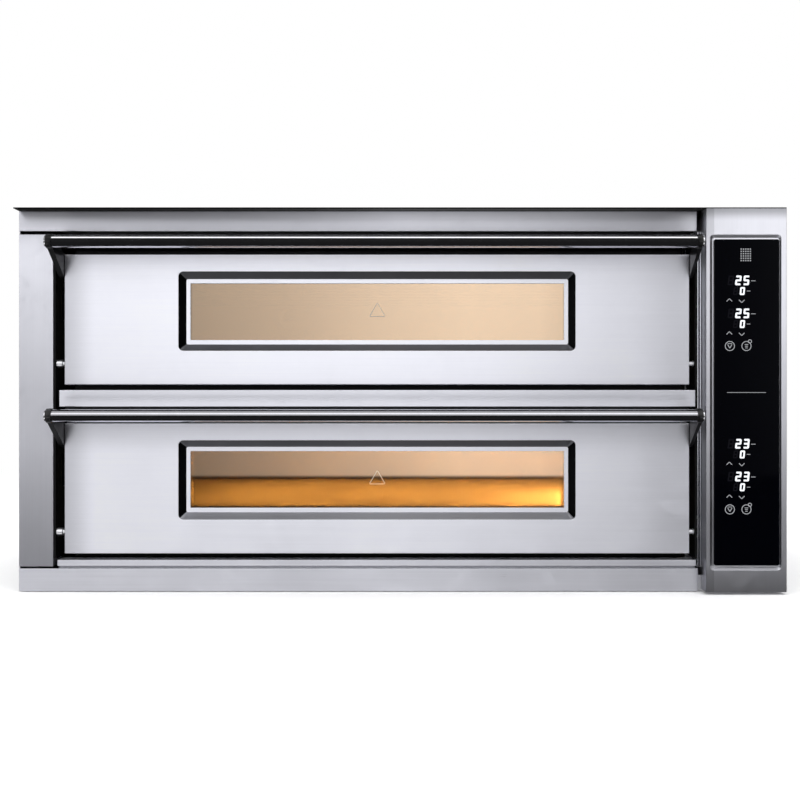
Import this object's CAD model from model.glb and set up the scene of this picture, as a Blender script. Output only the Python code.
"""Two-deck stainless baking oven with mirrored windows and a touch-glass column.

Metres, +Z up. The front faces -Y, and +X is to the right as seen by the viewer.
Each deck has a door with a half-mirrored bronze window; the controls stand at the right.
"""

import math

import bmesh
import bpy
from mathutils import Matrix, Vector, noise

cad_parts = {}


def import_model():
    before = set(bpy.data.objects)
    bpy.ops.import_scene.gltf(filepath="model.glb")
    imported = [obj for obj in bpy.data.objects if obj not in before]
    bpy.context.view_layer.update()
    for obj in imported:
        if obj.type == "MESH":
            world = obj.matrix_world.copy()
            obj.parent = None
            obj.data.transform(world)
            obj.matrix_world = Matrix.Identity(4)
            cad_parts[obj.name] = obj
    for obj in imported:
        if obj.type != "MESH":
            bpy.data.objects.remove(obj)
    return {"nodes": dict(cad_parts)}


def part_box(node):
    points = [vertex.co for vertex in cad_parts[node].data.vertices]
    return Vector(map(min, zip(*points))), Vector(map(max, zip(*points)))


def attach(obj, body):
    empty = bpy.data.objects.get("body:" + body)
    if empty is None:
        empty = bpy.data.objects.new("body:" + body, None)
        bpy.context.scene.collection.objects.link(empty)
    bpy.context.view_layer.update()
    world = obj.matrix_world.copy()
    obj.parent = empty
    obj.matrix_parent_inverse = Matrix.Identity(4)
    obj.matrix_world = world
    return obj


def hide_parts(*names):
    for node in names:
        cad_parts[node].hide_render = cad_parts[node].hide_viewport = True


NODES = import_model()["nodes"]
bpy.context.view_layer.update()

FRONT_Y = -0.382                             # face of the front frame
DECK_Z = {"upper": 0.375, "lower": 0.071}    # base height of each deck
WINDOW_X = -0.0418                           # window centre
WINDOW_UP = 0.1306                           # window centre above its deck's base
LAMP_Y = FRONT_Y + 0.210
LAMP_UP = 0.135                              # lamp centre above its deck's base
WHITE = (1.0, 1.0, 1.0, 1.0)


# ------------------------------------------------------------------ node graphs
BSDF_INPUTS = {
    "color": "Base Color", "rough": "Roughness", "metal": "Metallic", "normal": "Normal",
    "aniso": "Anisotropic", "turn": "Anisotropic Rotation", "tangent": "Tangent",
    "sheen": "Sheen Weight", "spec": "Specular IOR Level",
}


class Graph:
    """Builds the node tree of a material or a world."""

    def __init__(self, owner, output="ShaderNodeOutputMaterial"):
        owner.use_nodes = True
        self.owner = owner
        self.tree = owner.node_tree
        self.tree.nodes.clear()
        self.output = self.tree.nodes.new(output)

    def node(self, kind, inputs=None, **props):
        node = self.tree.nodes.new("ShaderNode" + kind)
        for key, value in props.items():
            setattr(node, key, value)
        for key, value in (inputs or {}).items():
            if isinstance(value, bpy.types.NodeSocket):
                self.tree.links.new(value, node.inputs[key])
            else:
                node.inputs[key].default_value = value
        return node

    def first(self, kind, inputs=None, **props):
        """First output of a new node."""
        return self.node(kind, inputs, **props).outputs[0]

    def finish(self, shader):
        self.tree.links.new(shader, self.output.inputs["Surface"])
        return self.owner

    # arithmetic
    def math(self, operation, a, b=0.0, c=0.0, clamp=False):
        return self.first("Math", {0: a, 1: b, 2: c}, operation=operation, use_clamp=clamp)

    def product(self, *values):
        out = values[0]
        for value in values[1:]:
            out = self.math("MULTIPLY", out, value)
        return out

    def above(self, value, limit):
        return self.math("GREATER_THAN", value, limit)

    def below(self, value, limit):
        return self.math("LESS_THAN", value, limit)

    def add(self, pattern, amount, base, clamp=False):
        """base + pattern * amount"""
        return self.math("MULTIPLY_ADD", pattern, amount, base, clamp)

    def vary(self, pattern, amount, base, clamp=False):
        """base, swung up and down by a pattern centred on 0.5"""
        return self.add(self.math("SUBTRACT", pattern, 0.5), amount, base, clamp)

    def remap(self, value, span=(0.0, 1.0), to=(0.0, 1.0), smooth=False):
        inputs = {"Value": value, "From Min": span[0], "From Max": span[1],
                  "To Min": to[0], "To Max": to[1]}
        return self.first("MapRange", inputs,
                          interpolation_type="SMOOTHSTEP" if smooth else "LINEAR")

    def patches(self, pattern, span, amount, smooth=True):
        """Mask of strength amount where the pattern passes through the span."""
        return self.math("MULTIPLY", self.remap(pattern, span, smooth=smooth), amount)

    # vectors and places
    def split(self, vector):
        return self.node("SeparateXYZ", {0: vector}).outputs

    def position(self):
        return self.split(self.node("TexCoord").outputs["Object"])

    def geometry(self, output):
        return self.node("NewGeometry").outputs[output]

    def coord(self, stretch=(1, 1, 1), turn=(0, 0, 0), offset=(0, 0, 0)):
        place = self.node("TexCoord").outputs["Object"]
        return self.first("Mapping", {"Vector": place, "Scale": stretch,
                                      "Rotation": turn, "Location": offset})

    # patterns and colours
    def noise(self, scale=1.0, detail=2.0, rough=0.5, warp=0.0, **place):
        inputs = {"Vector": self.coord(**place), "Scale": scale, "Detail": detail,
                  "Roughness": rough, "Distortion": warp}
        return self.node("TexNoise", inputs).outputs["Fac"]

    def cells(self, scale, **place):
        inputs = {"Vector": self.coord(**place), "Scale": scale}
        return self.node("TexVoronoi", inputs).outputs["Distance"]

    def ramp(self, value, stops):
        """stops: (position, grey level or colour)"""
        node = self.node("ValToRGB", {"Fac": value})
        elements = node.color_ramp.elements
        while len(elements) < len(stops):
            elements.new(0.5)
        for element, (place, color) in zip(elements, stops):
            element.position = place
            grey = isinstance(color, (int, float))
            element.color = (color, color, color, 1) if grey else tuple(color) + (1,)
        return node.outputs["Color"]

    def mix(self, amount, a, b, mode="MIX"):
        node = self.node("Mix", {0: amount}, data_type="RGBA", blend_type=mode)
        for socket, color in ((6, a), (7, b)):
            if isinstance(color, bpy.types.NodeSocket):
                self.tree.links.new(color, node.inputs[socket])
            else:
                node.inputs[socket].default_value = tuple(color) + (1,)
        return node.outputs[2]

    def scale_color(self, color, factor):
        grey = self.first("CombineXYZ", {0: factor, 1: factor, 2: factor})
        return self.first("VectorMath", {0: color, 1: grey}, operation="MULTIPLY")

    # surfaces
    def bump(self, height, strength, depth, normal=None):
        inputs = {"Height": height, "Strength": strength, "Distance": depth}
        if normal is not None:
            inputs["Normal"] = normal
        return self.first("Bump", inputs)

    def edge_wear(self, radius, span):
        """Rounded normal, and a mask that is 1 on sharp edges."""
        bevel = self.first("Bevel", {"Radius": radius}, samples=4)
        dot = self.node("VectorMath", {0: bevel, 1: self.geometry("Normal")},
                        operation="DOT_PRODUCT").outputs["Value"]
        return bevel, self.remap(dot, span, smooth=True)

    def bsdf(self, **values):
        if isinstance(values["color"], tuple):
            values["color"] += (1,)
        inputs = {BSDF_INPUTS[key]: value for key, value in values.items()}
        return self.first("BsdfPrincipled", inputs)

    def emission(self, strength, color=WHITE):
        return self.first("Emission", {"Color": color, "Strength": strength})

    def transparent(self, color=WHITE):
        return self.first("BsdfTransparent", {"Color": color})

    def glossy(self, color, rough):
        return self.first("BsdfAnisotropic", {"Color": color, "Roughness": rough})

    def blend(self, amount, a, b):
        return self.first("MixShader", {0: amount, 1: a, 2: b})


def new_graph(name):
    return Graph(bpy.data.materials.new(name))


def by_grain(grain, along, across):
    """Vector with one value along the grain axis and another across it."""
    return tuple(along if axis == grain else across for axis in "XYZ")


# ------------------------------------------------------------------ kinds of material
def brushed(name, base, rough, grain, aniso, streak, blotch,
            worn=True, heat=None, dirt=0.25, shade=None):
    """Brushed sheet: scratches along the grain, cloudy tone, smudges and rubbed edges.

    streak and blotch set the contrast of the scratches and the clouds, heat the strength
    of heat tint, dirt that of the smudges, and shade(graph) gives a tone by place.
    """
    g = new_graph(name)
    fine = g.noise(detail=3.0, rough=0.7, stretch=by_grain(grain, along=2.5, across=620))
    broad = g.noise(rough=0.6, stretch=by_grain(grain, along=5.5, across=170),
                    offset=(3.1, 7.7, 1.3))
    cloud = g.noise(scale=5.0, detail=3.0, rough=0.55, warp=0.3, offset=(1.7, 0.4, 2.2))
    smear = g.noise(scale=17.0, detail=4.0, rough=0.65, warp=1.2,
                    turn=(0.3, 0.2, 0.5), offset=(9.1, 4.2, 5.5))
    mottle = g.noise(scale=60.0, detail=3.0, rough=0.6, warp=0.2, offset=(5.7, 6.4, 3.2))
    tone = g.vary(fine, amount=streak * 2.2, base=1.0)
    tone = g.vary(broad, amount=streak * 1.2, base=tone)
    tone = g.vary(cloud, amount=blotch * 2.4, base=tone)
    tone = g.vary(mottle, amount=blotch * 0.6, base=tone)
    color = g.scale_color(base, tone)
    if heat is not None:
        tint = g.ramp(
            g.noise(scale=7.0, detail=3.0, rough=0.6, warp=0.8, offset=(2.2, 8.1, 0.3)),
            [(0.3, (1.0, 0.97, 0.9)), (0.52, (0.92, 0.78, 0.55)),
             (0.68, (0.70, 0.55, 0.50)), (0.8, (0.55, 0.52, 0.62))])
        color = g.mix(heat, color, g.mix(1.0, color, tint, "MULTIPLY"))
    # fingerprints and wiped marks change the roughness, not the colour
    wiped = g.remap(smear, span=(0.52, 0.72), smooth=True)
    gloss = g.vary(fine, amount=0.16, base=rough)
    gloss = g.add(wiped, amount=dirt * 0.22, base=gloss)
    gloss = g.vary(cloud, amount=0.12, base=gloss, clamp=True)
    bevel = None
    if worn:
        bevel, rub = g.edge_wear(radius=0.0009, span=(0.985, 0.80))
        paler = tuple(min(1.0, c * 1.18) for c in base)
        color = g.mix(g.math("MULTIPLY", rub, 0.55), color, paler)
        gloss = g.add(rub, amount=-0.10, base=gloss, clamp=True)
    normal = g.bump(fine, strength=0.10, depth=0.0002, normal=bevel)
    waves = g.noise(scale=3.2, detail=1.0, rough=0.4, offset=(4.4, 1.1, 7.0))
    normal = g.bump(waves, strength=0.05, depth=0.003, normal=normal)
    if shade is not None:
        color = g.scale_color(color, shade(g))
    tangent = g.first("CombineXYZ", dict(enumerate(by_grain(grain, along=1.0, across=0.0))))
    return g.finish(g.bsdf(color=color, metal=1.0, rough=gloss, normal=normal,
                           aniso=aniso, turn=0.25, tangent=tangent))


def polished(name, base, rough, haze, grain=None):
    """Polished or chromed metal with faint wiping haze and hairline scratches."""
    g = new_graph(name)
    stretch = by_grain(grain, along=6, across=900) if grain else (300, 300, 300)
    hair = g.noise(detail=3.0, rough=0.6, stretch=stretch)
    cloud = g.noise(scale=30.0, detail=3.0, rough=0.6, warp=0.6)
    gloss = g.add(cloud, amount=haze, base=rough)
    gloss = g.vary(hair, amount=0.08, base=gloss, clamp=True)
    tone = g.remap(cloud, span=(0.3, 0.8), to=(0.93, 1.0))
    return g.finish(g.bsdf(color=g.scale_color(base, tone), metal=1.0, rough=gloss,
                           normal=g.bump(hair, strength=0.08, depth=0.0001)))


def coated(name, base, rough, peel_scale, bump, dust=0.10, edge=None, spec=0.5):
    """Powder coat or moulding: orange peel, slight dust, scuffs; edge colours worn edges."""
    g = new_graph(name)
    peel = g.noise(scale=peel_scale)
    cloud = g.noise(scale=22.0, detail=4.0, rough=0.6, warp=0.4, offset=(2, 5, 1))
    scuff = g.noise(scale=90.0, detail=5.0, rough=0.7, warp=1.5, turn=(0.4, 0.1, 0.9))
    dusty = g.patches(cloud, span=(0.45, 0.75), amount=dust)
    color = g.mix(dusty, base, (0.35, 0.34, 0.33))
    paler = tuple(min(1.0, c * 1.7 + 0.02) for c in base)
    color = g.mix(g.patches(scuff, span=(0.62, 0.75), amount=0.22), color, paler)
    gloss = g.vary(cloud, amount=0.18, base=rough, clamp=True)
    bevel = None
    if edge is not None:
        bevel, rub = g.edge_wear(radius=0.0008, span=(0.98, 0.82))
        color = g.mix(g.math("MULTIPLY", rub, 0.5), color, edge)
    normal = g.bump(peel, strength=bump, depth=0.0003, normal=bevel)
    return g.finish(g.bsdf(color=color, rough=gloss, spec=spec, normal=normal))


def window_glass(name, through, fade):
    """Half-mirrored bronze glass, coated on its front face only.

    through is the tint of the light let in; fade is the mirror's strength from left to right.
    """
    g = new_graph(name)
    geometry = g.node("NewGeometry")
    x = g.position()[0]
    strength = g.ramp(g.remap(x, span=(-0.38, 0.30)), fade)
    wipe = g.noise(scale=14.0, detail=3.0, rough=0.6, warp=0.8, offset=(0.5, 0.1, 0.9))
    mirror_color = g.first("VectorMath", {0: (0.86, 0.72, 0.575), 1: strength},
                           operation="MULTIPLY")
    gloss = g.add(g.remap(wipe, span=(0.45, 0.8), smooth=True), amount=0.02, base=0.004)
    mirror = g.glossy(mirror_color, gloss)
    film = g.noise(scale=9.0, detail=3.0, rough=0.6, warp=0.5, offset=(6, 2, 4))
    tint = g.mix(g.remap(film, span=(0.35, 0.75), to=(0.0, 0.12)),
                 through, tuple(c * 0.75 for c in through))
    clear = g.transparent(tint)
    fresnel = g.first("Fresnel", {"IOR": 1.5})
    coating = g.blend(g.add(fresnel, amount=0.5, base=0.56, clamp=True), clear, mirror)
    plain = g.transparent()
    rim = g.bsdf(color=(0.06, 0.05, 0.04), rough=0.15)
    facing = g.split(g.first(
        "VectorTransform", {0: geometry.outputs["True Normal"]},
        vector_type="NORMAL", convert_from="WORLD", convert_to="OBJECT"))[1]
    is_front = g.below(facing, -0.7)
    is_back = g.above(facing, 0.7)
    is_pane = g.math("ADD", is_front, is_back, clamp=True)
    return g.finish(g.blend(is_pane, rim, g.blend(is_front, plain, coating)))


def clear_glass(name):
    """Clear heat glass with a light film of soot."""
    g = new_graph(name)
    geometry = g.node("NewGeometry")
    haze = g.noise(scale=8.0, detail=4.0, rough=0.65, warp=0.7, offset=(1, 2, 3))
    clear = g.transparent((0.93, 0.95, 0.94, 1))
    gloss = g.glossy((0.9, 0.9, 0.9, 1), 0.03)
    fresnel = g.first("Fresnel", {"IOR": 1.45})
    front = g.math("SUBTRACT", 1.0, geometry.outputs["Backfacing"])
    glass = g.blend(g.math("MULTIPLY", fresnel, front), clear, gloss)
    soot = g.first("BsdfDiffuse", {"Color": (0.22, 0.13, 0.06, 1)})
    return g.finish(g.blend(g.patches(haze, span=(0.5, 0.85), amount=0.06), glass, soot))


def control_face(name):
    """Black touch glass: deep gloss with faint finger smears and a cool cast."""
    g = new_graph(name)
    smear = g.noise(scale=26.0, detail=4.0, rough=0.6, warp=1.6,
                    stretch=(1, 1, 0.35), turn=(0, 0.6, 0))
    spots = g.noise(scale=160.0, offset=(3, 3, 3))
    gloss = g.add(g.remap(smear, span=(0.5, 0.8), smooth=True), amount=0.16, base=0.035)
    color = g.mix(g.patches(spots, span=(0.6, 0.8), amount=0.3),
                  (0.0006, 0.0007, 0.0016), (0.0012, 0.0014, 0.003))
    return g.finish(g.bsdf(color=color, rough=gloss, spec=0.035,
                           normal=g.bump(smear, strength=0.02, depth=0.0002)))


def baking_stone(name):
    """Pitted, gritty stone with scorch marks and flour."""
    g = new_graph(name)
    base = g.noise(scale=14.0, detail=5.0, rough=0.6, warp=0.4)
    grit = g.noise(scale=520.0, detail=3.0, rough=0.7, offset=(1, 4, 2))
    pits = g.cells(scale=240.0, offset=(2, 2, 2))
    scorch = g.noise(scale=5.5, detail=4.0, rough=0.62, warp=0.9, offset=(7, 3, 1))
    flour = g.noise(scale=34.0, detail=5.0, rough=0.7, warp=0.6, offset=(0.4, 8, 6))
    color = g.ramp(base, [(0.3, (0.50, 0.38, 0.25)), (0.55, (0.66, 0.53, 0.37)),
                          (0.75, (0.76, 0.64, 0.48))])
    grains = g.patches(grit, span=(0.55, 0.72), amount=0.35, smooth=False)
    color = g.mix(grains, color, (0.34, 0.24, 0.15))
    burnt = g.patches(scorch, span=(0.56, 0.76), amount=0.55)
    color = g.mix(burnt, color, (0.20, 0.11, 0.055))
    dusted = g.patches(flour, span=(0.60, 0.78), amount=0.35)
    color = g.mix(dusted, color, (0.86, 0.80, 0.70))
    height = g.add(g.remap(pits, span=(0.0, 0.25)), amount=0.6, base=grit)
    return g.finish(g.bsdf(color=color, rough=g.remap(grit, span=(0.3, 0.7), to=(0.78, 0.95)),
                           normal=g.bump(height, strength=0.45, depth=0.0006)))


def element_sheath(name):
    """Dark oxidised heater tube with paler bands."""
    g = new_graph(name)
    cloud = g.noise(scale=60.0, detail=4.0, rough=0.6, warp=0.5)
    band = g.noise(scale=3.0, stretch=(12, 1, 1))
    color = g.ramp(cloud, [(0.3, (0.045, 0.036, 0.032)), (0.55, (0.10, 0.078, 0.064)),
                           (0.75, (0.20, 0.15, 0.11))])
    color = g.mix(g.remap(band, span=(0.45, 0.7), to=(0.0, 0.4)), color, (0.26, 0.16, 0.12))
    return g.finish(g.bsdf(color=color, metal=0.75,
                           rough=g.remap(cloud, span=(0.3, 0.7), to=(0.42, 0.68)),
                           normal=g.bump(cloud, strength=0.3, depth=0.0003)))


def mineral_wool(name):
    """Yellowish wool: two directions of fibre over soft lumps."""
    g = new_graph(name)
    fibres = [g.noise(detail=4.0, rough=0.7, warp=1.0, stretch=stretch)
              for stretch in ((60, 700, 500), (500, 60, 700))]
    lump = g.noise(scale=40.0, detail=5.0, rough=0.65, warp=0.6)
    fibre = g.math("MAXIMUM", *fibres)
    color = g.ramp(fibre, [(0.35, (0.34, 0.28, 0.15)), (0.55, (0.60, 0.53, 0.33)),
                           (0.72, (0.80, 0.74, 0.55))])
    color = g.mix(g.remap(lump, span=(0.5, 0.8), to=(0.0, 0.45)), color, (0.42, 0.36, 0.22))
    height = g.add(lump, amount=1.5, base=fibre)
    return g.finish(g.bsdf(color=color, rough=0.95, sheen=0.4,
                           normal=g.bump(height, strength=0.8, depth=0.002)))


def gasket_braid(name):
    """Braided rope: two crossing diagonal yarn directions, fuzzy and sooty."""
    g = new_graph(name)
    yarns = []
    for lean in (0.785, -0.785):
        inputs = {"Vector": g.coord(turn=(0.2, lean, 0.0)), "Scale": 210.0,
                  "Distortion": 1.2, "Detail": 2.0, "Detail Scale": 2.0}
        yarns.append(g.node("TexWave", inputs, bands_direction="X").outputs["Fac"])
    yarn = g.math("MAXIMUM", *yarns)
    fuzz = g.noise(scale=1500.0, rough=0.6)
    soot = g.noise(scale=25.0, detail=3.0, rough=0.6)
    color = g.mix(yarn, (0.15, 0.145, 0.14), (0.36, 0.35, 0.34))
    color = g.mix(g.remap(soot, span=(0.5, 0.75), to=(0.0, 0.5)), color, (0.05, 0.04, 0.03))
    height = g.add(fuzz, amount=0.3, base=yarn)
    return g.finish(g.bsdf(color=color, rough=0.9, sheen=0.3,
                           normal=g.bump(height, strength=0.6, depth=0.0005)))


def foot_rubber(name):
    """Pebbled black rubber with dust."""
    g = new_graph(name)
    pebble = g.cells(scale=900.0)
    dust = g.noise(scale=55.0, detail=4.0, rough=0.6, warp=0.5)
    color = g.mix(g.remap(dust, span=(0.5, 0.8), to=(0.0, 0.35)),
                  (0.022, 0.022, 0.023), (0.14, 0.13, 0.12))
    return g.finish(g.bsdf(color=color, rough=g.remap(dust, span=(0.3, 0.8), to=(0.7, 0.9)),
                           normal=g.bump(pebble, strength=0.25, depth=0.0003)))


def circuit_board(name):
    """Green solder mask with a brick pattern of tracks and pale pads."""
    g = new_graph(name)
    inputs = {"Vector": g.coord(turn=(math.pi / 2, 0, 0)), "Scale": 90.0,
              "Color1": (0.02, 0.11, 0.05, 1), "Color2": (0.016, 0.085, 0.04, 1),
              "Mortar": (0.05, 0.20, 0.10, 1), "Mortar Size": 0.05}
    tracks = g.node("TexBrick", inputs).outputs["Color"]
    pads = g.cells(scale=210.0)
    color = g.mix(g.remap(pads, span=(0.10, 0.06)), tracks, (0.72, 0.70, 0.64))
    wave = g.noise(scale=400.0)
    return g.finish(g.bsdf(color=color, rough=g.remap(wave, span=(0.3, 0.7), to=(0.28, 0.42)),
                           normal=g.bump(pads, strength=0.3, depth=0.0004)))


def bush_brass(name):
    """Turned brass, tarnished in places."""
    g = new_graph(name)
    turning = g.noise(detail=3.0, rough=0.6, stretch=(900, 60, 60))
    tarnish = g.noise(scale=120.0, detail=4.0, rough=0.6, warp=0.5)
    color = g.mix(g.remap(tarnish, span=(0.45, 0.75), to=(0.0, 0.6)),
                  (0.80, 0.60, 0.28), (0.42, 0.28, 0.12))
    return g.finish(g.bsdf(color=color, metal=1.0,
                           rough=g.remap(turning, span=(0.3, 0.7), to=(0.22, 0.42)),
                           normal=g.bump(turning, strength=0.2, depth=0.0001)))


def lit(name, color, strength):
    """Glowing surface with a slight grain in its brightness."""
    g = new_graph(name)
    grain = g.noise(scale=700.0)
    glow = g.remap(grain, span=(0.3, 0.7), to=(strength * 0.88, strength * 1.08))
    return g.finish(g.emission(glow, color + (1,)))


# ------------------------------------------------------------------ tone by place
def recess_tone(g):
    """Door skins: the slopes pressed round the window are darker than the face."""
    x, y, z = g.position()
    upper = g.above(z, 0.33)
    centre = g.remap(upper, to=(DECK_Z["lower"] + WINDOW_UP, DECK_Z["upper"] + WINDOW_UP))
    rise = g.math("SUBTRACT", z, centre)
    up = g.math("ABSOLUTE", rise)
    across = g.math("ABSOLUTE", g.math("SUBTRACT", x, WINDOW_X))
    # the recess: its depth behind the face, and its outline
    deep = g.product(g.above(y, FRONT_Y + 0.0004), g.below(y, FRONT_Y + 0.01185))
    inside = g.product(g.below(across, 0.3590), g.below(up, 0.0730))
    # end slopes are divided from the long ones by 45 degree mitres
    end = g.above(g.math("SUBTRACT", across, 0.34575), g.math("SUBTRACT", up, 0.0590))
    # slope tones, each for (lower door, upper door)
    top = g.remap(upper, to=(0.25, 0.14))
    bottom = g.remap(upper, to=(0.38, 0.17))
    long_slope = g.remap(g.above(rise, 0.0), to=(bottom, top))
    slope = g.remap(end, to=(long_slope, 0.02))
    # the face darkens towards both ends, and under the lower door's top edge
    ends = g.product(g.remap(x, span=(-0.604, -0.545), to=(0.70, 1.0), smooth=True),
                     g.remap(x, span=(0.40, 0.521), to=(1.0, 0.84), smooth=True))
    lower_brow = g.remap(z, span=(0.245, 0.288), to=(1.0, 0.86), smooth=True)
    brow = g.remap(upper, to=(lower_brow, 1.0))
    return g.product(ends, brow, g.remap(g.product(deep, inside), to=(1.0, slope)))


def column_tone(g):
    """Control column: tone by height, shade at its top, and a darker left part."""
    x, _, z = g.position()
    tall = g.ramp(g.remap(z, span=(0.0, 0.66)), [
        (0.0, 0.58), (0.045, 0.84), (0.085, 1.08), (0.21, 0.91), (0.35, 0.86),
        (0.48, 0.89), (0.62, 0.90), (0.75, 1.0), (1.0, 1.0)])
    return g.product(tall, g.remap(z, span=(0.662, 0.684), to=(1.0, 0.50), smooth=True),
                     g.remap(g.below(x, 0.557), to=(1.0, 0.80)))


def post_tone(g):
    """Left front post: tone by height."""
    return g.ramp(g.remap(g.position()[2], span=(0.0, 0.687)), [
        (0.13, 1.10), (0.27, 0.98), (0.40, 0.95), (0.53, 0.82), (0.655, 0.87),
        (0.79, 0.90), (0.92, 1.06)])


def cover_tone(g):
    """Top cover: its underside and front edge are dark, nearly black in reflections."""
    _, normal_y, normal_z = g.split(g.geometry("True Normal"))
    dark = g.math("ADD", g.below(normal_z, -0.5), g.below(normal_y, -0.5), clamp=True)
    seen = g.node("LightPath").outputs["Is Camera Ray"]
    toward = g.split(g.geometry("Incoming"))[1]
    return g.remap(dark, to=(g.remap(toward, span=(-0.2, 0.6), to=(1.0, 0.52), smooth=True),
                             g.remap(seen, to=(0.75, 0.012))))


def fascia_tone(g):
    """Fascias: dark returns behind the doors and a dark groove low down."""
    _, y, z = g.position()
    bright_strip = g.product(g.above(z, 0.3605), g.below(z, 0.3650))
    returns = g.product(g.above(z, 0.30), g.above(y, FRONT_Y + 0.0035),
                        g.math("SUBTRACT", 1.0, bright_strip))
    groove = g.product(g.above(z, 0.0424), g.below(z, 0.0474), g.above(y, FRONT_Y + 0.0006))
    return g.math("MULTIPLY", g.remap(returns, to=(1.0, 0.06)),
                  g.remap(groove, to=(1.0, 0.42)))


# ------------------------------------------------------------------ materials on CAD parts
def dress(material, *names):
    for name in names:
        part = NODES[name]
        if part.material_slots:
            for slot in part.material_slots:
                slot.material = material
        else:
            part.data.materials.append(material)
    return material


def decks(part):
    return [f"{deck}_{part}" for deck in DECK_Z]


dress(brushed("steel_door", base=(0.915, 0.922, 1.0), rough=0.34, grain="X", aniso=0.85,
              streak=0.035, blotch=0.045, shade=recess_tone), *decks("door_skin"))
dress(brushed("steel_fascia", base=(0.79, 0.795, 0.865), rough=0.33, grain="X", aniso=0.8,
              streak=0.04, blotch=0.05, shade=fascia_tone),
      "top_fascia", "middle_fascia", "bottom_fascia")
BLACKENED = dress(brushed("steel_blackened", base=(0.014, 0.014, 0.015), rough=0.42,
                          grain="X", aniso=0.3, streak=0.05, blotch=0.08),
                  *decks("front_frame"))
dress(polished("turned_pins", base=(0.86, 0.87, 0.90), rough=0.34, haze=0.06), "hinge_pins")
dress(brushed("steel_post", base=(0.80, 0.805, 0.875), rough=0.36, grain="Z", aniso=0.7,
              streak=0.04, blotch=0.045, shade=post_tone), "left_front_post")
dress(brushed("steel_column", base=(0.80, 0.805, 0.87), rough=0.33, grain="Z", aniso=0.7,
              streak=0.04, blotch=0.045, shade=column_tone), "control_housing")
dress(brushed("steel_side", base=(0.74, 0.745, 0.79), rough=0.36, grain="Y", aniso=0.7,
              streak=0.04, blotch=0.06), "left_side_panel", "right_side_panel")
dress(brushed("steel_cover", base=(0.74, 0.745, 0.79), rough=0.35, grain="X", aniso=0.7,
              streak=0.04, blotch=0.06, worn=False, shade=cover_tone), "top_cover")
dress(brushed("steel_back", base=(0.66, 0.665, 0.70), rough=0.42, grain="X", aniso=0.5,
              streak=0.04, blotch=0.07), "back_panel", "base_pan", "divider_wall")
dress(brushed("steel_trim", base=(0.84, 0.845, 0.91), rough=0.24, grain="Z", aniso=0.6,
              streak=0.03, blotch=0.03), "right_post_trim")
dress(brushed("steel_inner", base=(0.66, 0.65, 0.64), rough=0.36, grain="X", aniso=0.5,
              streak=0.05, blotch=0.08, heat=0.35), *decks("door_inner_pan"))
dress(brushed("steel_chamber", base=(0.62, 0.58, 0.52), rough=0.42, grain="Y", aniso=0.4,
              streak=0.06, blotch=0.10, worn=False, heat=0.8, dirt=0.6),
      *decks("chamber_liner"))
dress(brushed("steel_flue", base=(0.66, 0.66, 0.68), rough=0.33, grain="Y", aniso=0.5,
              streak=0.05, blotch=0.06, heat=0.25), *decks("flue_spigot"))
dress(brushed("steel_damper", base=(0.60, 0.59, 0.58), rough=0.35, grain="X", aniso=0.4,
              streak=0.05, blotch=0.06, heat=0.45), *decks("flue_damper"))
dress(polished("polished_bar", base=(0.80, 0.80, 0.85), rough=0.10, haze=0.05, grain="X"),
      *decks("handle_bar"))
dress(polished("bright_fixings", base=(0.82, 0.82, 0.86), rough=0.16, haze=0.06),
      *decks("handle_fixings"), "cabinet_screws")
dress(coated("black_enamel", base=(0.004, 0.004, 0.0045), rough=0.34, peel_scale=800.0,
             bump=0.10, dust=0.015, edge=(0.03, 0.03, 0.033)), *decks("handle_brackets"))
dress(coated("black_hinge_plates", base=(0.003, 0.003, 0.0034), rough=0.5, peel_scale=800.0,
             bump=0.10, dust=0.01, spec=0.12), "left_hinge_plate", "right_hinge_plate")
dress(window_glass("bronze_mirror_glass", through=(1.0, 0.66, 0.34),
                   fade=[(0.0, 0.39), (0.25, 0.52), (0.5, 0.71), (0.72, 0.81),
                         (0.93, 0.90), (1.0, 0.84)]), "upper_window_outer_glass")
dress(window_glass("bronze_mirror_glass_lower", through=(1.0, 0.76, 0.44),
                   fade=[(0.0, 0.24), (0.25, 0.40), (0.5, 0.62), (0.72, 0.86),
                         (0.93, 0.98), (1.0, 0.92)]), "lower_window_outer_glass")
dress(clear_glass("clear_heat_glass"), *decks("window_inner_glass"), "lamp_lenses")
dress(control_face("control_glass_black"), "control_glass")
dress(circuit_board("circuit_board"), "display_board", "relay_board")
dress(coated("contactor_plastic", base=(0.22, 0.23, 0.25), rough=0.5, peel_scale=500.0,
             bump=0.15), "contactors")
dress(coated("terminal_plastic", base=(0.74, 0.71, 0.62), rough=0.42, peel_scale=500.0,
             bump=0.12), "terminal_block")
dress(coated("gland_plastic", base=(0.02, 0.02, 0.021), rough=0.45, peel_scale=600.0,
             bump=0.15), "cable_gland")
dress(coated("fan_plastic", base=(0.018, 0.018, 0.02), rough=0.5, peel_scale=700.0,
             bump=0.2), "fan_housing", "fan_rotor")
dress(foot_rubber("foot_rubber"), "feet")
BRAID = dress(gasket_braid("gasket_braid"), *decks("door_gasket"))
dress(bush_brass("bush_brass"), *decks("door_bushes"))
STONE = dress(baking_stone("baking_stone"), *decks("baking_stones"))
dress(element_sheath("element_sheath"), *decks("heating_elements"), "temperature_probes")
dress(polished("lamp_reflector", base=(0.78, 0.77, 0.75), rough=0.22, haze=0.1),
      "lamp_housings")
WOOL = dress(mineral_wool("mineral_wool"), "insulation_boards")


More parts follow.
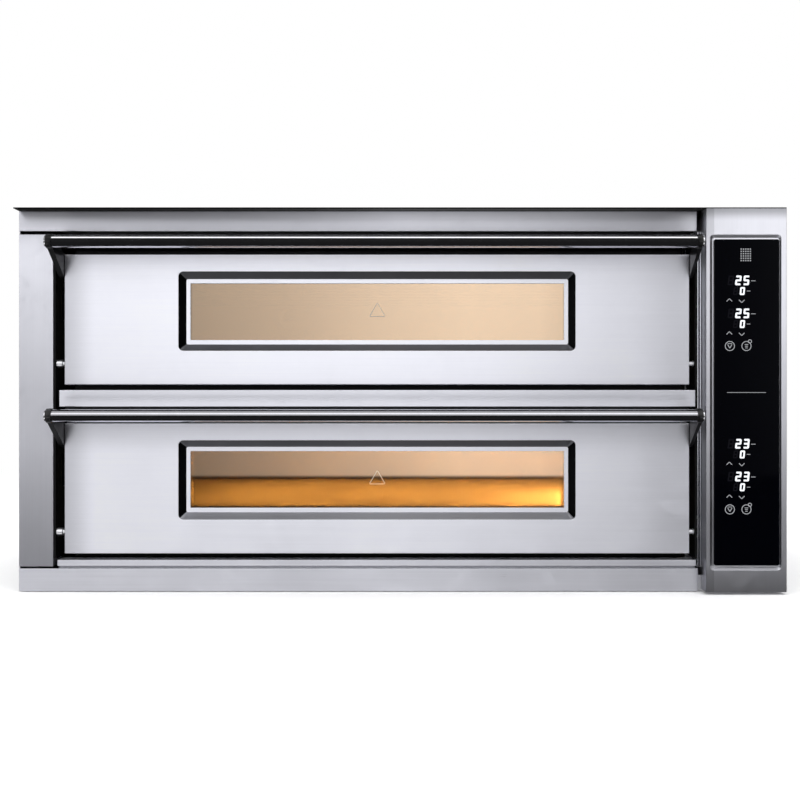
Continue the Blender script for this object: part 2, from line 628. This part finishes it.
# ------------------------------------------------------------------ mesh helpers
def mesh_object(name, verts, faces, material, body, smooth=True):
    mesh = bpy.data.meshes.new(name)
    mesh.from_pydata([tuple(v) for v in verts], [], faces)
    mesh.validate()
    bm = bmesh.new()
    bm.from_mesh(mesh)
    bmesh.ops.recalc_face_normals(bm, faces=bm.faces)
    bm.to_mesh(mesh)
    bm.free()
    part = bpy.data.objects.new(name, mesh)
    bpy.context.scene.collection.objects.link(part)
    mesh.materials.append(material)
    for polygon in mesh.polygons:
        polygon.use_smooth = smooth
    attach(part, body)
    return part


def skin(rings, sides, closed=False):
    """Quads joining successive rings of vertices; closed joins the last to the first."""
    faces = []
    for i in range(rings if closed else rings - 1):
        j = (i + 1) % rings
        for k in range(sides):
            l = (k + 1) % sides
            faces.append((i * sides + k, i * sides + l, j * sides + l, j * sides + k))
    return faces


class Legend:
    """Flat raised marks on a front-facing plane, drawn from closed outlines in (x, z)."""

    SEGMENTS = {"0": "abcdef", "2": "abged", "3": "abgcd", "5": "afgcd", "8": "abcdefg"}

    def __init__(self, y, thick=0.00016):
        self.y, self.thick = y, thick
        self.verts, self.faces = [], []

    def poly(self, points):
        n, k = len(points), len(self.verts)
        for y in (self.y, self.y - self.thick):
            self.verts += [(x, y, z) for x, z in points]
        self.faces.append(tuple(range(k, k + n)))
        self.faces.append(tuple(range(k + n, k + 2 * n)))
        for i in range(n):
            j = (i + 1) % n
            self.faces.append((k + i, k + j, k + n + j, k + n + i))

    def stroke(self, start, end, width, cap=0.2):
        """A stroke with pointed ends; cap is the point's length over the width."""
        start, end = Vector(start), Vector(end)
        along = (end - start).normalized()
        side = Vector((-along.y, along.x)) * width / 2
        tip = along * width * cap
        self.poly([tuple(p) for p in (start, start + tip + side, end - tip + side,
                                      end, end - tip - side, start + tip - side)])

    def ring(self, x, z, radius, width, steps):
        inner = radius - width
        for i in range(steps):
            a0 = 2 * math.pi * i / steps
            a1 = 2 * math.pi * (i + 1) / steps
            self.poly([(x + math.cos(a) * r, z + math.sin(a) * r)
                       for a, r in ((a0, radius), (a1, radius), (a1, inner), (a0, inner))])

    def digit(self, figure, x, z, width, height, line, slant):
        """Seven-segment figure with its lower-left corner at (x, z)."""
        half = line * 0.5
        overlap = -line * 0.28
        left, right = half, width - half
        low, mid, high = half, height * 0.5, height - half
        inset_left, inset_right = half + overlap, width - half - overlap
        ends = {
            "a": ((inset_left, high), (inset_right, high)),
            "g": ((inset_left, mid), (inset_right, mid)),
            "d": ((inset_left, low), (inset_right, low)),
            "f": ((left, mid + overlap), (left, high - overlap)),
            "b": ((right, mid + overlap), (right, high - overlap)),
            "e": ((left, low + overlap), (left, mid - overlap)),
            "c": ((right, low + overlap), (right, mid - overlap)),
        }
        for segment in self.SEGMENTS[figure]:
            start, end = [(x + u + slant * v, z + v) for u, v in ends[segment]]
            self.stroke(start, end, line, cap=0.18)

    def build(self, name, material, body, slot):
        mesh_object(name, self.verts, self.faces, material, body, smooth=False)


# ------------------------------------------------------------------ control glass legends
LEGEND_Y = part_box("control_glass")[0].y + 0.00002
READOUTS = ((0.566102, "25"), (0.507609, "25"), (0.276471, "23"), (0.218333, "23"))
LARGE_DROP, SMALL_DROP = 0.017016, 0.034387    # figure baselines under a readout's top
FIGURE_X, FIGURE_PITCH, SMALL_X = 0.593996, 0.014180, 0.602149
UNLIT_X, UNLIT_SMALL_X = 0.580524, 0.590096
LARGE = dict(width=0.010458, height=0.017194, line=0.003279, slant=0.10)
SMALL = dict(width=0.008685, height=0.014003, line=0.002836, slant=0.10)
UNLIT = dict(width=0.009926, height=0.017016, line=0.002659, slant=0.14)
UNLIT_SMALL = dict(width=0.008154, height=0.014003, line=0.002304, slant=0.14)
DASHES = ((0.622356, 0.009217, 0.008154), (0.614911, 0.027297, 0.006381))  # x, drop, length
DASH_WIDTH = 0.001099
ARROWS = ((0.584069, 0.043604, 1), (0.606049, 0.045022, -1))    # x, drop, up or down
ARROW_HALF, ARROW_TIP, ARROW_TAIL = 0.004963, 0.002836, 0.002127
SYMBOL_LINE = 0.001241

KEY_ROWS = (0.441316, 0.151686)
DIAL_X, LEVEL_X = 0.584956, 0.614380
KEY_RADIUS, KEY_LINE = 0.008774, 0.001276
HAND_REACH, HAND_TOP, HAND_LINE = 0.003900, 0.002836, 0.001329
DIAL_BAR_UP, DIAL_BAR_LINE = 0.004254, 0.001064
LEVEL_TOP, LEVEL_PITCH = 0.002659, 0.003013
LEVEL_HALVES = (0.003191, 0.002659, 0.002127)
BADGE_OUT, BADGE_UP, BADGE_RADIUS = 0.006027, 0.008154, 0.003545

DOTS_X, DOTS_Z, DOT_PITCH, DOT_HALF = 0.613139, 0.602971, 0.004077, 0.001099
DIVIDER_X, DIVIDER_Z, DIVIDER_LINE = (0.579815, 0.648944), 0.358894, 0.000886

figures = Legend(LEGEND_Y)
symbols = Legend(LEGEND_Y)
unlit = Legend(LEGEND_Y)


def readout(top, digits):
    """Two large figures over a small zero, unlit figures, dashes and two arrows."""
    for i, digit in enumerate(digits):
        figures.digit(digit, FIGURE_X + i * FIGURE_PITCH, top - LARGE_DROP, **LARGE)
    figures.digit("0", SMALL_X, top - SMALL_DROP, **SMALL)
    unlit.digit("8", UNLIT_X, top - LARGE_DROP, **UNLIT)
    unlit.digit("8", UNLIT_SMALL_X, top - SMALL_DROP, **UNLIT_SMALL)
    for x, drop, length in DASHES:
        symbols.stroke((x, top - drop), (x + length, top - drop), DASH_WIDTH)
    for x, drop, up in ARROWS:
        tip = (x, top - drop + up * ARROW_TIP)
        for side in (-1, 1):
            end = (x + side * ARROW_HALF, top - drop - up * ARROW_TAIL)
            symbols.stroke(end, tip, SYMBOL_LINE)


def touch_keys(z):
    """Two ringed keys: a V under a bar, and three level bars with a small ring outside."""
    for x in (DIAL_X, LEVEL_X):
        symbols.ring(x, z, KEY_RADIUS, KEY_LINE, steps=48)
    for side in (-1, 1):
        symbols.stroke((DIAL_X + side * HAND_REACH, z + HAND_TOP),
                       (DIAL_X, z - HAND_REACH), HAND_LINE)
    symbols.stroke((DIAL_X - HAND_REACH, z + DIAL_BAR_UP),
                   (DIAL_X + HAND_REACH, z + DIAL_BAR_UP), DIAL_BAR_LINE)
    for k, half in enumerate(LEVEL_HALVES):
        bar_z = z + LEVEL_TOP - LEVEL_PITCH * k
        symbols.stroke((LEVEL_X - half, bar_z), (LEVEL_X + half, bar_z), SYMBOL_LINE)
    symbols.ring(LEVEL_X + BADGE_OUT, z + BADGE_UP, BADGE_RADIUS, SYMBOL_LINE, steps=24)


def dot_grid():
    """Five by six square dots at the top of the glass."""
    for i in range(5):
        for j in range(6):
            x = DOTS_X + (i - 2) * DOT_PITCH
            z = DOTS_Z + (j - 2.5) * DOT_PITCH
            symbols.poly([(x + a * DOT_HALF, z + b * DOT_HALF)
                          for a, b in ((-1, -1), (1, -1), (1, 1), (-1, 1))])


for top, digits in READOUTS:
    readout(top, digits)
for z in KEY_ROWS:
    touch_keys(z)
dot_grid()
symbols.stroke(*[(x, DIVIDER_Z) for x in DIVIDER_X], DIVIDER_LINE)
for legend, name, material in (
        (figures, "display_figures", lit("lit_legend", (0.93, 0.96, 1.0), strength=1.25)),
        (symbols, "display_key_symbols", lit("dim_legend", (0.78, 0.80, 0.84), strength=0.52)),
        (unlit, "display_unlit_segments",
         lit("unlit_segments", (0.55, 0.55, 0.75), strength=0.012))):
    legend.build(name, material, "cabinet", "control_black")


# ------------------------------------------------------------------ window marks
MARK_RADIUS = 0.0165
MARK_LINE = 0.0011
ETCH = {
    "upper": coated("etched_mark_upper", base=(0.44, 0.37, 0.30), rough=0.6,
                    peel_scale=900.0, bump=0.1),
    "lower": coated("etched_mark", base=(0.66, 0.55, 0.42), rough=0.6,
                    peel_scale=900.0, bump=0.1),
}


def window_mark(deck):
    """Faint triangle on the front of a window pane."""
    mark = Legend(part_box(deck + "_window_outer_glass")[0].y + 0.00001, thick=0.0001)
    centre_z = DECK_Z[deck] + WINDOW_UP
    angles = [math.pi / 2 + 2 * math.pi * i / 3 for i in range(3)]
    points = [Vector((WINDOW_X + MARK_RADIUS * math.cos(a),
                      centre_z + MARK_RADIUS * math.sin(a))) for a in angles]
    for i in range(3):
        start, end = points[i], points[(i + 1) % 3]
        gap = (end - start) * 0.03
        mark.stroke(start + gap, end - gap, MARK_LINE, cap=0.4)
    mark.build(deck + "_window_mark", ETCH[deck], deck + "_door", "bronze_glass")


for deck in DECK_Z:
    window_mark(deck)


# ------------------------------------------------------------------ rope gaskets
ROPE_WIDTH = 0.0060
ROPE_BEND = 0.009          # corner radius of the rope's centre line
ROPE_STEP = 0.0016
ROPE_SIDES = 12
ROPE_HALF = (0.0028, 0.00172)    # half width in the door's plane, half depth along Y
LAY_PITCH = 0.0046


def rope_path(lo, hi):
    """Closed centre line in (x, z): a rounded rectangle, divided finely."""
    inset = ROPE_WIDTH / 2 + ROPE_BEND
    left, right = lo.x + inset, hi.x - inset
    low, high = lo.z + inset, hi.z - inset
    corners = []
    for quarter, (x, z) in enumerate(((right, high), (left, high), (left, low), (right, low))):
        for i in range(7):
            a = quarter * math.pi / 2 + math.pi / 2 * i / 6
            corners.append(Vector((x + ROPE_BEND * math.cos(a), z + ROPE_BEND * math.sin(a))))
    path = []
    for i, start in enumerate(corners):
        end = corners[(i + 1) % len(corners)]
        steps = max(1, int((end - start).length / ROPE_STEP))
        path += [start.lerp(end, k / steps) for k in range(steps)]
    return path


def rope_gasket(deck):
    """Rope with its crossing lay and slight unevenness, kept within the CAD gasket's depth."""
    lo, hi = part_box(deck + "_door_gasket")
    path = rope_path(lo, hi)
    verts = []
    travelled = 0.0
    for i, point in enumerate(path):
        before, after = path[i - 1], path[(i + 1) % len(path)]
        along = (after - before).normalized()
        outward = Vector((along.y, -along.x))
        if i:
            travelled += (point - before).length
        phase = travelled / LAY_PITCH * math.pi
        for k in range(ROPE_SIDES):
            a = 2 * math.pi * k / ROPE_SIDES
            lay = math.sin(phase + a * 2) * 0.00022 + math.sin(-phase + a * 2) * 0.00016
            uneven = noise.noise(Vector((point.x * 30, point.y * 30, a))) * 0.00012
            u = math.cos(a) * (ROPE_HALF[0] + lay + uneven)
            v = math.sin(a) * (ROPE_HALF[1] + lay * 0.7)
            y = min(max((lo.y + hi.y) / 2 + v, lo.y), hi.y)
            verts.append((point.x + outward.x * u, y, point.y + outward.y * u))
    rope = mesh_object(deck + "_rope_gasket", verts, skin(len(path), ROPE_SIDES, closed=True),
                       BRAID, deck + "_door")
    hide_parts(deck + "_door_gasket")


for deck in DECK_Z:
    rope_gasket(deck)


# ------------------------------------------------------------------ mineral wool
WOOL_EDGE = 0.035                      # edges longer than this are divided
WOOL_SINK, WOOL_UNEVEN = 0.0004, 0.0011


def wool_boards():
    """The CAD slabs with an uneven surface, sunk slightly inside their own space."""
    bm = bmesh.new()
    bm.from_mesh(NODES["insulation_boards"].data)
    bmesh.ops.remove_doubles(bm, verts=bm.verts, dist=0.00001)
    bmesh.ops.dissolve_limit(bm, angle_limit=0.02, verts=bm.verts, edges=bm.edges)
    bmesh.ops.triangulate(bm, faces=bm.faces)
    for _ in range(6):
        long_edges = [e for e in bm.edges if e.calc_length() > WOOL_EDGE]
        if not long_edges:
            break
        bmesh.ops.subdivide_edges(bm, edges=long_edges, cuts=1)
        bmesh.ops.triangulate(bm, faces=bm.faces)
    bm.normal_update()
    for vert in bm.verts:
        sink = WOOL_SINK + WOOL_UNEVEN * (0.5 + 0.5 * noise.noise(vert.co * 38.0))
        vert.co += vert.normal * -sink
    mesh = bpy.data.meshes.new("wool_boards")
    bm.to_mesh(mesh)
    bm.free()
    boards = bpy.data.objects.new("wool_boards", mesh)
    bpy.context.scene.collection.objects.link(boards)
    mesh.materials.append(WOOL)
    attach(boards, "cabinet")
    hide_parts("insulation_boards")


wool_boards()


# ------------------------------------------------------------------ closing strips
STRIP_X = (-0.6075, 0.5245)
STRIP_THICK = 0.0009
STRIP_Y = FRONT_Y + 0.0602
RIB_Y = FRONT_Y + 0.0610           # the rib is pressed back to here
RIB_SLOPE = 0.001                  # half height of the rib's sloped sides


def closing_strip(label, low, high):
    """Blackened strip across the cabinet with a pressed rib along its middle."""
    mid, half = (low + high) / 2, (high - low) * 0.16
    front = [(STRIP_Y, low), (STRIP_Y, mid - half - RIB_SLOPE),
             (RIB_Y, mid - half + RIB_SLOPE), (RIB_Y, mid + half - RIB_SLOPE),
             (STRIP_Y, mid + half + RIB_SLOPE), (STRIP_Y, high)]
    loop = front + [(y + STRIP_THICK, z) for y, z in reversed(front)]
    m = len(loop)
    verts = [(x, y, z) for x in STRIP_X for y, z in loop]
    caps = [(end + k, end + k + 1, end + m - 2 - k, end + m - 1 - k)
            for end in (0, m) for k in range(len(front) - 1)]
    mesh_object(label + "_closing_strip", verts, skin(2, m) + caps, BLACKENED,
                "cabinet", False)


closing_strip("roof", low=0.6060, high=0.6630)
closing_strip("middle", low=0.3060, high=0.3760)
closing_strip("floor", low=0.0330, high=0.0645)


# ------------------------------------------------------------------ window spacers
SPACER = polished("window_spacer", base=(0.92, 0.90, 0.86), rough=0.09, haze=0.03, grain="X")
SPACER_HALF = (0.3385, 0.0514)     # half width and half height of the opening
SPACER_THICK = 0.0008
SPACER_GAP = 0.0002                # clearance to each pane


def window_spacer(deck):
    """Frame between the two panes of a window, with its inner corners cut."""
    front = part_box(deck + "_window_outer_glass")[1].y + SPACER_GAP
    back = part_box(deck + "_window_inner_glass")[0].y - SPACER_GAP
    # (outward, y)
    profile = [(0.0, front + 0.0004), (0.0, back - 0.0004), (0.0003, back),
               (SPACER_THICK, back), (SPACER_THICK, front), (0.0003, front)]
    centre_z = DECK_Z[deck] + WINDOW_UP
    verts = [(WINDOW_X + sx * (SPACER_HALF[0] + out), y, centre_z + sz * (SPACER_HALF[1] + out))
             for sx, sz in ((-1, -1), (1, -1), (1, 1), (-1, 1)) for out, y in profile]
    mesh_object(deck + "_window_spacer", verts, skin(4, len(profile), closed=True), SPACER,
                deck + "_door", False)


for deck in DECK_Z:
    window_spacer(deck)


# ------------------------------------------------------------------ stone joints
JOINT_STEPS = 160
JOINT_HALF, CREST_HALF = 0.00145, 0.0006
JOINT_DEPTH = -0.0060
JOINT_END = 0.002                  # gap to each end of the stones


def stone_joint(deck):
    """Crumbs packed in the joint between the two baking stones."""
    lo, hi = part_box(deck + "_baking_stones")
    centre = (lo.x + hi.x) / 2
    verts = []
    for i in range(JOINT_STEPS + 1):
        y = lo.y + JOINT_END + (hi.y - lo.y - 2 * JOINT_END) * i / JOINT_STEPS
        lumps = noise.noise(Vector((y * 90, centre, DECK_Z[deck] * 7)))
        crest = -0.0002 - 0.0009 * (0.5 + 0.5 * lumps)
        section = [(-JOINT_HALF, JOINT_DEPTH), (-JOINT_HALF, crest - 0.0004),
                   (-CREST_HALF, crest), (CREST_HALF, crest - 0.0001),
                   (JOINT_HALF, crest - 0.0004), (JOINT_HALF, JOINT_DEPTH)]
        verts += [(centre + u, y, hi.z + v) for u, v in section]
    m, last = 6, JOINT_STEPS * 6
    faces = skin(JOINT_STEPS + 1, m) + [tuple(range(m)), tuple(range(last, last + m))]
    mesh_object(deck + "_stone_joint", verts, faces, STONE, "cabinet")


for deck in DECK_Z:
    stone_joint(deck)


# ------------------------------------------------------------------ lamp coils
COIL_X, COIL_LENGTH = 0.5005, 0.009
COIL_HALF = (0.00105, 0.0016)      # half width along X and half height
WIRE_RADIUS, WIRE_SIDES = 0.0004, 6
COIL_TURNS, TURN_STEPS = 7, 14


def lamp_coil(deck, strength):
    """Glowing coil along Y inside a chamber lamp."""
    steps = COIL_TURNS * TURN_STEPS
    verts = []
    for i in range(steps + 1):
        t = i / steps
        a = 2 * math.pi * COIL_TURNS * t
        centre = Vector((COIL_X + COIL_HALF[0] * math.cos(a),
                         LAMP_Y - COIL_LENGTH / 2 + COIL_LENGTH * t,
                         DECK_Z[deck] + LAMP_UP + COIL_HALF[1] * math.sin(a)))
        for k in range(WIRE_SIDES):
            b = 2 * math.pi * k / WIRE_SIDES
            verts.append(centre + Vector((math.cos(b), 0.0, math.sin(b))) * WIRE_RADIUS)
    glow = lit(deck + "_coil_glow", (1.0, 0.72, 0.38), strength)
    mesh_object(deck + "_lamp_coil", verts, skin(steps + 1, WIRE_SIDES), glow,
                "cabinet")


lamp_coil("upper", strength=8.0)
lamp_coil("lower", strength=30.0)


# ------------------------------------------------------------------ studio surroundings
# Reflected brightness by slope (rise over distance, rescaled to 0..1): (position, level)
SKY_BY_SLOPE = [(0.0, 0.90), (0.03, 1.05), (0.05, 1.31), (0.10, 1.47), (0.20, 1.56),
                (0.34, 1.9), (0.7, 2.0), (0.85, 0.9), (1.0, 0.6)]
GROUND_BY_SLOPE = [(0.0, 0.03), (0.33, 0.04), (0.50, 1.00), (0.78, 1.00), (0.87, 0.07),
                   (1.0, 0.05)]
# and by heading: (degrees from the front, + to the right, level)
SKY_BY_HEADING = [
    (-180, 0.42), (-100, 0.46), (-84, 0.50), (-79, 0.0), (-50, 0.0), (-40, 0.60), (-24, 1.0),
    (-20.5, 0.74), (-18, 0.86), (-16, 0.98), (-12, 1.0), (3, 1.03), (10, 0.82), (14, 0.52),
    (17, 0.28), (19, 0.42), (22, 0.95), (27, 1.08), (34, 1.05), (44, 0.85), (50, 0.0),
    (79, 0.0), (84, 0.50), (100, 0.46), (180, 0.42)]
GROUND_BY_HEADING = [
    (-180, 1.0), (-84, 1.0), (-79, 0.0), (-50, 0.0), (-36, 1.8), (-24, 1.6), (-20, 1.05),
    (-16, 1.2), (-10, 1.0), (0, 1.04), (8, 1.12), (14, 0.74), (18, 0.50), (22, 1.0),
    (30, 1.18), (44, 1.0), (50, 0.0), (79, 0.0), (84, 1.0), (180, 1.0)]


def studio_world():
    """White to the camera, even soft light to surfaces, a shaped studio in reflections."""
    world = bpy.data.worlds.new("studio")
    bpy.context.scene.world = world
    g = Graph(world, "ShaderNodeOutputWorld")
    x, y, z = g.split(g.node("TexCoord").outputs["Generated"])
    level = g.math("SQRT", g.math("ADD", g.math("MULTIPLY", x, x), g.math("MULTIPLY", y, y)))
    run = g.math("MAXIMUM", g.math("MULTIPLY", y, -1.0), g.math("MULTIPLY", level, 0.7))
    slope = g.math("DIVIDE", z, g.math("MAXIMUM", run, 0.02))
    heading = g.math("ARCTAN2", x, g.math("MULTIPLY", y, -1.0))
    degrees = g.math("MULTIPLY", heading, 180 / math.pi)
    horizon = g.remap(slope, span=(-0.0825, -0.0785), smooth=True)
    sky = g.ramp(g.remap(slope, span=(-0.1, 2.2)), SKY_BY_SLOPE)
    ground = g.ramp(g.remap(slope, span=(-3.0, -0.08)), GROUND_BY_SLOPE)
    sky_round, ground_round = [
        g.ramp(g.remap(degrees, span=(-180.0, 180.0)), [((a + 180) / 360, v) for a, v in table])
        for table in (SKY_BY_HEADING, GROUND_BY_HEADING)]
    sky = g.mix(1.0, sky, sky_round, "MULTIPLY")
    ground = g.mix(1.0, ground, ground_round, "MULTIPLY")
    studio = g.mix(horizon, ground, sky)
    ray = g.node("LightPath").outputs
    plain, soft, reflected = [
        g.first("Background", {"Color": color, "Strength": strength})
        for color, strength in ((WHITE, 1.0), (WHITE, 0.62), (studio, 1.0))]
    unseen = g.blend(ray["Is Glossy Ray"], soft, reflected)
    g.finish(g.blend(ray["Is Camera Ray"], unseen, plain))


def studio_object(name, verts, faces):
    mesh = bpy.data.meshes.new(name)
    mesh.from_pydata(verts, [], faces)
    thing = bpy.data.objects.new(name, mesh)
    bpy.context.scene.collection.objects.link(thing)
    return thing


def studio_floor():
    """Pale floor that turns to pure white away from the oven."""
    reach = 14
    floor = studio_object("studio_floor", [(-reach, -reach, 0), (reach, -reach, 0),
                                           (reach, reach, 0), (-reach, reach, 0)],
                          [(0, 1, 2, 3)])
    g = new_graph("studio_floor_paint")
    fleck = g.noise(scale=3.0, detail=3.0)
    x, y, _ = g.position()
    distance = g.math("SQRT", g.math("ADD", g.math("MULTIPLY", x, x), g.math("MULTIPLY", y, y)))
    paint = g.bsdf(color=g.mix(fleck, (0.95, 0.95, 0.955), (0.97, 0.97, 0.97)),
                   rough=0.85, spec=0.1)
    white = g.emission(1.0)
    fade = g.remap(distance, span=(0.9, 3.2), smooth=True)
    floor.data.materials.append(g.finish(g.blend(fade, paint, white)))
    floor.visible_glossy = False


def flag(name, verts, faces, level, reach):
    """Studio flag seen only by reflected rays shorter than reach; level(graph) lights it."""
    cloth = studio_object(name, verts, faces)
    g = new_graph(name + "_cloth")
    glow = g.emission(level(g))
    clear = g.transparent()
    far = g.above(g.node("LightPath").outputs["Ray Length"], reach)
    cloth.data.materials.append(g.finish(g.blend(far, glow, clear)))
    for kind in ("camera", "diffuse", "transmission", "volume_scatter", "shadow"):
        setattr(cloth, "visible_" + kind, False)


def top_level(g):
    """Brightness from left to right of the flag before the top fascia."""
    return g.ramp(g.remap(g.position()[0], span=(-0.80, 0.60)), [
        (0.0, 0.10), (0.2, 0.16), (0.36, 0.29), (0.5, 0.57), (0.57, 0.78), (0.68, 0.68),
        (0.8, 0.50), (1.0, 0.06)])


def visor_level(g):
    return g.math("MULTIPLY", top_level(g), 0.62)


def bar_cove(deck, span, value, hot=None):
    """Half-round cove before a handle bar: dark, with one lit slot.

    span and hot are elevations in degrees: the slot, and a brighter core within it.
    """
    lo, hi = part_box(deck + "_handle_bar")
    centre_y, centre_z = (lo.y + hi.y) / 2, (lo.z + hi.z) / 2
    radius, steps = 0.036, 60
    start, sweep = -88, 208    # degrees
    verts = []
    for i in range(steps + 1):
        a = math.radians(start + (sweep * i / steps))
        for x in (-0.618, 0.531):
            verts.append((x, centre_y - radius * math.cos(a), centre_z + radius * math.sin(a)))
    faces = [(2 * i, 2 * i + 1, 2 * i + 3, 2 * i + 2) for i in range(steps)]

    def level(g):
        _, y, z = g.position()
        angle = g.math("ARCTAN2", g.math("SUBTRACT", z, centre_z),
                       g.math("SUBTRACT", centre_y, y))
        elevation = g.math("MULTIPLY", angle, 180 / math.pi)

        def band(low, high, blur):
            return g.product(
                g.remap(elevation, span=(low - blur, low + blur), smooth=True),
                g.remap(elevation, span=(high - blur, high + blur), to=(1.0, 0.0), smooth=True))

        glow = band(*span, blur=3)
        if hot is not None:
            core = band(*hot, blur=4)
            glow = g.add(core, amount=1.0, base=g.math("MULTIPLY", glow, 0.62))
        return g.add(glow, amount=value, base=0.012)

    flag("studio_cove_" + deck, verts, faces, level, reach=0.052)


studio_world()
studio_floor()
# these two keep the top fascia and the visor darker than the doors
flag("studio_flag_top", [(-0.80, -0.60, 0.680), (0.56, -0.60, 0.680), (0.56, -0.60, 0.95),
                         (-0.80, -0.60, 0.95)], [(0, 1, 2, 3)], top_level, reach=0.245)
VISOR_FRONT, VISOR_BACK = FRONT_Y - 0.0260, FRONT_Y - 0.0004
flag("studio_flag_visor", [(-0.684, VISOR_FRONT, 0.6836), (0.556, VISOR_FRONT, 0.6836),
                           (0.556, VISOR_BACK, 0.6836), (-0.684, VISOR_BACK, 0.6836)],
     [(0, 1, 2, 3)], visor_level, reach=0.034)
bar_cove("upper", span=(46.0, 72.0), value=1.5)
bar_cove("lower", span=(6.0, 78.0), value=0.8, hot=(26.0, 44.0))


# ------------------------------------------------------------------ lights
def add_light(name, kind, at, watts, color):
    light = bpy.data.lights.new(name, kind)
    light.energy = watts
    light.color = color
    lamp = bpy.data.objects.new(name, light)
    lamp.location = at
    lamp.visible_glossy = False
    bpy.context.scene.collection.objects.link(lamp)
    return lamp


def area(name, at, toward, size, watts, color=(1, 1, 1)):
    lamp = add_light(name, "AREA", at, watts, color)
    lamp.data.shape = "RECTANGLE"
    lamp.data.size, lamp.data.size_y = size
    aim = Vector(toward) - Vector(at)
    lamp.rotation_euler = aim.to_track_quat("-Z", "Y").to_euler()


area("soft_bank_over", at=(0.2, -1.4, 3.4), toward=(0, 0, 0.2), size=(3.6, 3.0), watts=95)
area("soft_bank_back", at=(-0.4, 2.6, 2.6), toward=(0, 0, 0.3), size=(3.0, 2.0), watts=45)
area("soft_side_left", at=(-3.2, -0.8, 1.6), toward=(0, 0, 0.3), size=(2.0, 2.0), watts=22)
area("soft_side_right", at=(3.2, -0.6, 1.6), toward=(0, 0, 0.3), size=(2.0, 2.0), watts=16)
# heat glow from the top of the lower chamber, then the two chamber lamps
area("lower_element_glow", at=(0.02, FRONT_Y + 0.36, 0.278), toward=(0.02, FRONT_Y + 0.36, 0.0),
     size=(0.92, 0.52), watts=14, color=(1.0, 0.82, 0.52))
for deck, watts in (("lower", 70.0), ("upper", 1.2)):
    lamp = add_light(deck + "_lamp", "POINT", at=(0.462, LAMP_Y, DECK_Z[deck] + LAMP_UP),
                     watts=watts, color=(1.0, 0.85, 0.58))
    lamp.data.shadow_soft_size = 0.012

# ------------------------------------------------------------------ camera
camera = bpy.data.cameras.new("front")
camera.lens = 42.5
camera.sensor_width = 36.0
camera.shift_x = -0.025
camera.clip_start = 0.05
camera.clip_end = 60.0
viewer = bpy.data.objects.new("front", camera)
viewer.location = (0.03565, -2.082, 0.3456)
viewer.rotation_euler = (math.pi / 2, 0, 0)
scene = bpy.context.scene
scene.collection.objects.link(viewer)
scene.camera = viewer
scene.view_settings.view_transform = "Standard"
scene.view_settings.look = "None"
